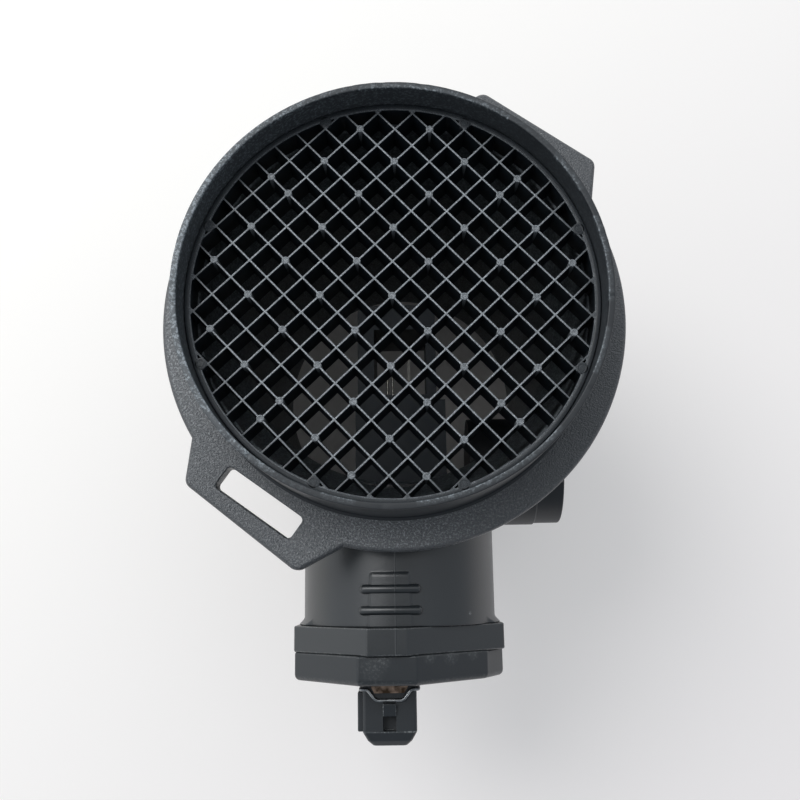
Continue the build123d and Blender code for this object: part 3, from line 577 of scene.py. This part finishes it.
def tube(path, radii, sides=16):
    """A closed round tube along points in space. Its section keeps square to the path and doesn't twist:
    each step takes the last side direction and removes what lies along the new tangent."""
    path = np.asarray(path, float)
    tangent = np.gradient(path, axis=0)
    tangent /= np.linalg.norm(tangent, axis=1, keepdims=True)
    side = np.cross(tangent[0], [0.31, 0.52, 0.79])
    sides_out = []
    for t in tangent:
        side = side - t * (side @ t)
        side = side / np.linalg.norm(side)
        sides_out.append(side)
    first_side = np.array(sides_out)
    second_side = np.cross(tangent, first_side)
    a = np.arange(sides) * 2 * np.pi / sides
    reach = np.broadcast_to(np.asarray(radii, float), len(path))[:, None, None]
    round_it = np.cos(a)[:, None] * first_side[:, None] + np.sin(a)[:, None] * second_side[:, None]
    rows = path[:, None] + reach * round_it
    count = len(path) * sides
    caps = [list(range(sides))[::-1], list(range(count - sides, count))]
    return rows, grid_faces(len(path), sides) + caps


for number, (distance, half_length) in enumerate(((9.1, 7.6), (4.0, 7.9)), 1):
    t = np.linspace(-1, 1, 61)
    bow = np.pi / 2 + 1.9 / neck_r - t * half_length / neck_r
    rib_along = box_start - distance
    rib_path = np.stack([neck_r * np.cos(bow), neck_r * np.sin(bow), np.full(61, rib_along)], 1)
    from_end = np.clip(half_length * (1 - np.abs(t)) / 1.15, 0, 1)
    rib_rows, rib_faces = tube(rib_path, 1.15 * np.sqrt(np.clip(1 - (1 - from_end) ** 2, 0.004, 1)), 20)
    make_piece(f"grip_rib_{number}", rib_rows @ neck_frame + [0, 0, neck_z], rib_faces, shaded_nylon_neck,
               "housing_plastic", stands_for=["duct_housing"])


# Side stub. A short spigot of the same black nylon beside the neck, moulded on, with a plain round
# bore into the duct.
stub_profile = np.vstack([[[15.4, 20.1], [15.4, 38.3]], s_curve(15.4, 38.3, 15.0, 38.9, 6)[1:],
                          [[15.0, 41.0], [15.0, 45.5]],
                          [[14.93, 45.75], [14.75, 45.93], [14.5, 46.0]],
                          [[12.5, 46.0], [12.3, 45.93], [12.2, 45.8], [12.2, 34.0], [12.2, 22.1]],
                          [[6.0, 22.1], [0.01, 22.1], [0.01, 20.1], [8.0, 20.1]]])
stub = make_piece("side_stub", turned(stub_profile, 256, side_frame, (0, stub_y, stub_z)),
                  grid_faces(len(stub_profile), 256, wrap_rows=True), nylon_duct, "housing_plastic",
                  stands_for=["duct_housing"])
cut(stub, cylinder_cutter(41.6, -5.0, 150.0, np.eye(3), (0, 0, 0)))
cut(stub, cylinder_cutter(neck_bore, neck_floor, 90.0, neck_frame, (0, 0, neck_z)))


# Electronics box, inner half. It is moulded in one with the neck, in the same black nylon, and ends
# in the seam of the cover.
def in_neck(points):
    """From the neck's own frame (right, up the duct, out along the neck) to the world."""
    return np.asarray(points) @ neck_frame + [0, 0, neck_z]


half_rim = edge_rows(lambda inset: rounded_corners(box_corners, 0.9, inset, 7),
                     box_start, box_seam, 0.35, 0.5)
half_loops = [(half_rim, "rim"),
              (edge_rows(lambda inset: circle(neck_bore + inset), box_start, box_seam, 0.1, 0.3), "hole")]
half_points, half_faces, half_wear = plate(half_loops)
make_piece("box_inner_half", in_neck(half_points), half_faces, shaded_nylon_neck, "housing_plastic",
           wear_and_painted_light=0.35 * half_wear, stands_for=["duct_housing"])


# Inlet grid. A separate moulding in black nylon, pressed into the mouth: square cells turned forty-five
# degrees whose bars taper toward the front, with round ejector bosses on some crossings and pads along
# the ring.
pitch, grid_turn, grid_r, grid_bore = 5.94, -1.7, 48.4, 47.0


def cell_outline(low_corner, bar_half, radius, corner_r, facing):
    """Rounded outline of one cell: the square between four bars, clipped by the ring's bore. The form is
    shrunk by the corner radius, and its farthest point in each direction is pushed out again by it."""
    left, bottom = low_corner + bar_half + corner_r
    right, top = low_corner + pitch - bar_half - corner_r
    a = np.linspace(0, 2 * np.pi, 1440, endpoint=False)
    shape = np.stack([np.cos(a), np.sin(a)], 1) * (radius - corner_r)
    for axis, limit, sign in ((0, left, 1), (0, right, -1), (1, bottom, 1), (1, top, -1)):
        depth = sign * (shape[:, axis] - limit)
        following, next_depth = np.roll(shape, -1, 0), np.roll(depth, -1)
        fall = np.where(depth == next_depth, 1, depth - next_depth)
        share = np.where(depth * next_depth < 0, depth / fall, 0)
        crossing = shape + (following - shape) * share[:, None]
        both = np.stack([shape, crossing], 1).reshape(-1, 2)
        shape = both[np.stack([depth >= 0, depth * next_depth < 0], 1).ravel()]
        if len(shape) < 3:
            return None
    return shape[np.argmax(shape @ facing.T, axis=0)] + corner_r * facing


def grid_loops():
    """All cells as holes through the grid, and its rim. A cell's rows widen from the back, where the bars
    are 1.2 mm, to the front, where they are 0.4 mm and their edges are rounded off."""
    front_half = 0.2
    heights = np.array([seat_z, seat_z + 0.1, seat_z + 3.5, grid_front_z - 0.25])
    halves = np.array([0.5, 0.6, 0.37, front_half])
    bend = np.radians(np.linspace(0, 80, 5))
    heights = np.concatenate([heights, grid_front_z - 0.1 + 0.1 * np.sin(bend)])
    halves = np.concatenate([halves, front_half - 0.06 * (1 - np.cos(bend))])
    loops = [(edge_rows(lambda inset: circle(grid_r - inset, 480), seat_z, grid_front_z, 0.3, 0.3), "rim")]
    for i in range(-8, 8):
        for j in range(-8, 8):
            corner = np.array([i, j]) * pitch
            toward = np.arctan2(corner[1] + pitch / 2, corner[0] + pitch / 2)
            angles = np.sort(np.concatenate([np.radians(np.arange(7.5, 360, 15)),
                                             (toward + np.radians(np.linspace(-5, 5, 11))) % (2 * np.pi)]))
            facing = np.stack([np.cos(angles), np.sin(angles)], 1)
            rows = []
            for z, half in zip(heights, halves):
                reach = grid_bore + front_half - min(half, front_half)
                ring = cell_outline(corner, half, reach, 0.15, facing)
                if ring is None or np.ptp(ring, axis=0).min() < 0.75:
                    break
                rows.append(np.insert(spun(ring, 45 + grid_turn), 2, z, axis=1))
            if len(rows) == len(heights):
                loops.append((np.array(rows), "hole"))
    return loops


grid_points, grid_mesh_faces, _ = plate(grid_loops())
unit = pitch / np.sqrt(2)
even = range(-10, 11, 2)
bosses = [(a, b) for a in even for b in even
          if (a + b) % 4 == 0 and (a // 2) % 2 == (b // 2) % 2 and np.hypot(a, b) < 10.4]
bosses += [(a, b) for a in (-7, 7) for b in (-7, 7)]
pads = [(a, b) for a in (-4, 4) for b in (-10.4, 10.4)] + [(a, b) for a in (-10.4, 10.4) for b in (-4, 4)]
root_z = seat_z + 0.3
boss_profile = np.array([[0.01, root_z], [0.9, root_z], [0.9, 132.38], [0.86, 132.5], [0.76, 132.55],
                         [0.62, 132.55], [0.55, 132.5], [0.4, 132.49], [0.01, 132.49]])
pad_profile = np.array([[0.01, root_z], [1.45, root_z], [1.45, 132.35], [1.38, 132.5], [1.25, 132.54],
                        [1.0, 132.54], [0.9, 132.47], [0.75, 132.47], [0.65, 132.54], [0.01, 132.54]])
crown_profile = np.array([[47.35, root_z], [grid_r, root_z], [grid_r, 132.4], [48.3, 132.5], [48.1, 132.54],
                          [47.6, 132.54], [47.42, 132.5], [47.35, 132.44]])
# Painted highlight: the fronts of the bars are painted pale where their rounded edges catch the light, fading
# toward the ring; the fronts of the bosses, pads and crown are painted paler as well.
grid_front_highlight = ramp(grid_points[:, 2], 132.2, 0.15) * (1 - 0.65 * ramp(np.hypot(*grid_points[:, :2].T), 40, 6))
for places, profile, around, highlight_share in ((bosses, boss_profile, 28, 0.75), (pads, pad_profile, 48, 0.12),
                                     ([(0, 0)], crown_profile, 480, 0.06)):
    for a, b in places:
        x, y = spun(np.array([[a, b]]) * unit, grid_turn)[0]
        grid_mesh_faces += grid_faces(len(profile), around, wrap_rows=True, first=len(grid_points))
        grid_points = np.vstack([grid_points, turned(profile, around, origin=(x, y, 0)).reshape(-1, 3)])
        grid_front_highlight = np.concatenate([grid_front_highlight, np.repeat(highlight_share * (profile[:, 1] > 132.3), around)])
nylon_grid = black_nylon("black_nylon_grid", "#12181d", 0.40, 0.01, 0.12, "#ccd3d8", ior=1.42)
make_piece("inlet_grid_moulding", grid_points, grid_mesh_faces, nylon_grid, "grid_plastic",
           wear_and_painted_light=grid_front_highlight, stands_for=["inlet_grid"])


# Box cover. A shallow cap of black nylon, with its right-hand corners cut, that closes the electronics
# box; a round spigot inside centres it in the neck's bore.
cover_corners = np.array([(-26.8, 10.8), (-9.85, 27.2), (4.35, 27.2), (22.2, 8.8 + 4.6 * 18.4 / 22.45),
                          (26.8, 4.2), (26.8, -4.2), (22.2, -8.8 - 4.6 * 18.4 / 22.45), (4.35, -27.2),
                          (-9.85, -27.2), (-26.8, -10.8)])[::-1]
cover_rim = edge_rows(lambda inset: rounded_corners(cover_corners, 1.1, inset, 7),
                      box_seam, box_end, 0.5, 1.5)
spigot_line = ((21.4, box_seam), (21.4, 79.7), (21.3, 79.55), (21.1, 79.5), (20.1, 79.5), (19.9, 79.7),
               (19.9, 87.0))
cover_bore = np.stack([np.insert(circle(r), 2, s, axis=1) for r, s in spigot_line])
cover_points, cover_faces, cover_wear = plate([(cover_rim, "rim"), (cover_bore, "blind")])
nylon_cover = black_nylon("black_nylon_cover", "#191e22", 0.42, 0.02, 0.5, ior=1.58,
                          scuffs=(((-6.3, -85.2, 111.2), 4.0, 0.2), ((-4.0, -83.4, 111.2), 2.6, 0.3),
                                  ((12.9, -82.7, 104.5), 3.0, 0.35), ((7.5, -82.6, 108.7), 2.4, 0.3),
                                  ((18.6, -82.7, 100.0), 2.4, 0.35)))
make_piece("box_cover_shell", in_neck(cover_points), cover_faces, nylon_cover, "cover_plastic",
           wear_and_painted_light=0.15 * cover_wear, stands_for=["box_cover"])


# Connector header. It is moulded in one with the cover: a tall five-way socket with a bevelled nose, a key
# strip on its left side and a wedge on top that the wire clip snaps behind.
def header_ring(half_wide, half_high, corner_r, s):
    """One rounded rectangle of the header, in the neck's frame."""
    corners = np.array([(-1, -1), (1, -1), (1, 1), (-1, 1)]) * [half_wide, half_high]
    return np.insert(rounded_corners(corners, corner_r, 0.0, 7) + [header_x, 0], 2, s, axis=1)


header_x, header_half, header_top, header_end = -2.6, 6.75, 16.0, 105.0
nose_line = ((0, 87.5), (0, 93.0), (0, 101.15), (0.05, 101.4), (0.2, 101.75), (1.15, 103.5), (1.35, 103.8),
             (2.4, 104.82), (2.55, 104.95), (2.75, header_end))
socket_line = ((2.95, 12.35, header_end), (2.8, 12.2, 104.85), (2.8, 12.2, 98.0), (2.8, 12.2, 92.0))
header_rings = [header_ring(header_half - inset, header_top - inset, 0.9, s) for inset, s in nose_line]
header_rings += [header_ring(half_wide, half_high, 0.3, s) for half_wide, half_high, s in socket_line]
header_rows = np.stack(header_rings)
header_faces = grid_faces(len(header_rows), header_rows.shape[1])
ring_count = header_rows.shape[1]
header_faces += [list(range(ring_count))[::-1], list(range((len(header_rows) - 1) * ring_count,
                                                          len(header_rows) * ring_count))]
header = make_piece("connector_header", in_neck(header_rows), header_faces, nylon_cover, "cover_plastic",
                    wear_and_painted_light=np.repeat([0, 0, 0, 1, 0, 0, 0, 0, 1, 1, 0, 0, 0, 0], ring_count),
                    stands_for=["box_cover"])
notch_corners = [(-4.25, 12.9), (-0.95, 12.9), (-0.95, 17.0), (-4.25, 17.0)]
notch = plate([(edge_rows(lambda inset: rounded_corners(notch_corners, 0.2, inset, 3), 97.7, 101.3, 0.1, 0.1),
                "rim")])
cut(header, make_piece("cutter", in_neck(notch[0]), notch[1], nylon_cover, None))

key_corners = [(-10.55, -1.0), (-8.4, -1.0), (-8.4, 15.0), (-10.55, 15.0)]
key_rows = edge_rows(lambda inset: rounded_corners(key_corners, 0.4, inset, 5), 92.0, 101.4, 0.35, 0.35)
key_plate = plate([(key_rows, "rim")])
make_piece("header_key", in_neck(key_plate[0]), key_plate[1], nylon_cover, "cover_plastic",
           wear_and_painted_light=0.6 * key_plate[2], stands_for=["box_cover"])
wedge_corners = np.array([(94.6, 15.0), (97.7, 15.0), (97.7, 16.5), (94.6, 17.5)])
wedge_rows = edge_rows(lambda inset: rounded_corners(wedge_corners, 0.25, inset, 5), -1.65, 1.65, 0.2, 0.2)
wedge = plate([(wedge_rows, "rim")])
wedge_placed = np.stack([header_x - wedge[0][:, 2], wedge[0][:, 1], wedge[0][:, 0]], 1)
make_piece("header_wedge", in_neck(wedge_placed), wedge[1], nylon_cover, "cover_plastic",
           wear_and_painted_light=0.8 * wedge[2], stands_for=["box_cover"])


# Retaining clip. Sprung steel wire bent round the root of the header, bowed out on top where it snaps
# behind the wedge.
def metal(name, colour, roughness, streak=0.0, tint="#ffffff"):
    """Bare metal with fine drawn or rolled streaks in its gloss and soft patches of a second tone: a slight
    stain, and on the bronze a painted highlight.
    """
    material, tree, output = new_material(name)
    place = add_node(tree, "ShaderNodeTexCoord").outputs["Object"]
    fine = add_node(tree, "ShaderNodeTexNoise", {"Vector": place, "Scale": 1 / (0.35 * MM), "Detail": 4.0})
    broad = add_node(tree, "ShaderNodeTexNoise", {"Vector": place, "Scale": 1 / (2.5 * MM), "Detail": 3.0})
    patch = add_node(tree, "ShaderNodeMapRange", {"Value": broad.outputs["Fac"], "From Min": 0.36,
                                                  "From Max": 0.66})
    tone = add_node(tree, "ShaderNodeMix", {"Factor": patch.outputs["Result"], 6: to_linear(colour),
                                            7: to_linear(tint)}, data_type="RGBA")
    gloss = add_node(tree, "ShaderNodeMapRange", {"Value": fine.outputs["Fac"], "To Min": roughness - 0.08,
                                                  "To Max": roughness + 0.1})
    bump = add_node(tree, "ShaderNodeBump", {"Height": fine.outputs["Fac"], "Distance": streak * MM})
    skin = add_node(tree, "ShaderNodeBsdfPrincipled", {"Base Color": tone.outputs[2], "Metallic": 1.0,
                                                       "Roughness": gloss.outputs["Result"],
                                                       "Normal": bump.outputs["Normal"]})
    tree.links.new(skin.outputs[0], output.inputs["Surface"])
    return material


wire_r, clip_root, clip_out = 0.45, 91.3, 93.9
clip_left, clip_right = header_x - header_half - wire_r, header_x + header_half + wire_r
clip_top = header_top + wire_r
clip_corners = [(clip_left + 3, -clip_top, clip_root), (clip_left, -clip_top, clip_root),
                (clip_left, clip_top, clip_root), (clip_left + 1.8, clip_top, clip_root),
                (clip_left + 3.8, clip_top, clip_out), (clip_right - 3.8, clip_top, clip_out),
                (clip_right - 1.8, clip_top, clip_root), (clip_right, clip_top, clip_root),
                (clip_right, -clip_top, clip_root), (clip_right - 3, -clip_top, clip_root)]
spring_wire = metal("drawn_spring_wire", "#74777b", 0.3, 0.004, "#b4b6b6")
bend_radii = np.array([1.1, 1.1, 1.1, 1.1, 1.6, 1.6, 1.1, 1.1, 1.1, 1.1])[:, None]
clip_rows, clip_faces = tube(rounded_corners(clip_corners, bend_radii, 0.0, 14, closed=False), wire_r, 20)
make_piece("retaining_clip_wire", in_neck(clip_rows), clip_faces, spring_wire, "spring_steel",
           stands_for=["retaining_clip"])


# Parts that keep their CAD form: the plug with its air channel, the measuring element, the seals, the
# electronics, the screws, the blades and the leaf behind the clip.
def plain_finish(name, colour, roughness, grain_size, grain_depth, second=None):
    """A dull finish such as rubber, ceramic or cast resin: a fine grain and a second tone in soft patches."""
    material, tree, output = new_material(name)
    place = add_node(tree, "ShaderNodeTexCoord").outputs["Object"]
    grain = add_node(tree, "ShaderNodeTexNoise", {"Vector": place, "Scale": 1 / (grain_size * MM),
                                                  "Detail": 3.0})
    patch = add_node(tree, "ShaderNodeTexNoise", {"Vector": place, "Scale": 1 / (6 * MM), "Detail": 2.0})
    tone = add_node(tree, "ShaderNodeMix", {"Factor": patch.outputs["Fac"], 6: to_linear(colour),
                                            7: to_linear(second or colour)}, data_type="RGBA")
    bump = add_node(tree, "ShaderNodeBump", {"Height": grain.outputs["Fac"], "Distance": grain_depth * MM})
    skin = add_node(tree, "ShaderNodeBsdfPrincipled", {"Base Color": tone.outputs[2], "Roughness": roughness,
                                                       "Normal": bump.outputs["Normal"]})
    tree.links.new(skin.outputs[0], output.inputs["Surface"])
    return material


nylon_plug = black_nylon("black_nylon_plug", "#29333c", 0.42, 0.012, 0.4)
seal_rubber = plain_finish("seal_rubber", "#1c1b1c", 0.75, 0.3, 0.01, "#232223")
# The bronze's pale pink patches are painted highlights on its dark tarnish.
bronze = metal("tarnished_bronze_with_highlights", "#4b3d31", 0.34, 0.005, "#bfa694")
tinned_brass = metal("tinned_brass", "#b9b6a8", 0.28, 0.003, "#d6d4cc")
screw_steel = metal("zinc_plated_steel", "#a9abad", 0.32, 0.003, "#c6c8c9")
aluminium = metal("rolled_aluminium", "#b4b6b8", 0.38, 0.004, "#cacccd")
ceramic = plain_finish("alumina_ceramic", "#d9d6cd", 0.55, 0.2, 0.004, "#e4e2db")
chip_resin = plain_finish("chip_resin", "#2a2b2d", 0.6, 0.25, 0.006, "#323335")
glass_film = plain_finish("glass_film", "#8a8f96", 0.2, 0.4, 0.002, "#a3a8ae")
finishes = {"sensor_plug": nylon_plug, "channel_cover": nylon_plug, "element_carrier": ceramic,
            "hot_film_plate": glass_film, "air_thermistor": chip_resin, "cover_seal": seal_rubber,
            "plug_ring": seal_rubber, "base_plate": aluminium, "hybrid_board": ceramic,
            "control_chip": chip_resin, "output_chip": chip_resin, "clip_leaf": bronze}
finishes |= {f"capacitor_{n}": ceramic for n in (1, 2)} | {f"plug_screw_{n}": screw_steel for n in (1, 2)}
finishes |= {f"thermistor_lead_{n}": tinned_brass for n in (1, 2)}
finishes |= {f"lead_strip_{n}": tinned_brass for n in range(1, 5)}
finishes |= {f"terminal_{n}": tinned_brass for n in range(1, 6)}
for node_name, finish in finishes.items():
    for material_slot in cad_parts[node_name].material_slots:
        material_slot.material = finish
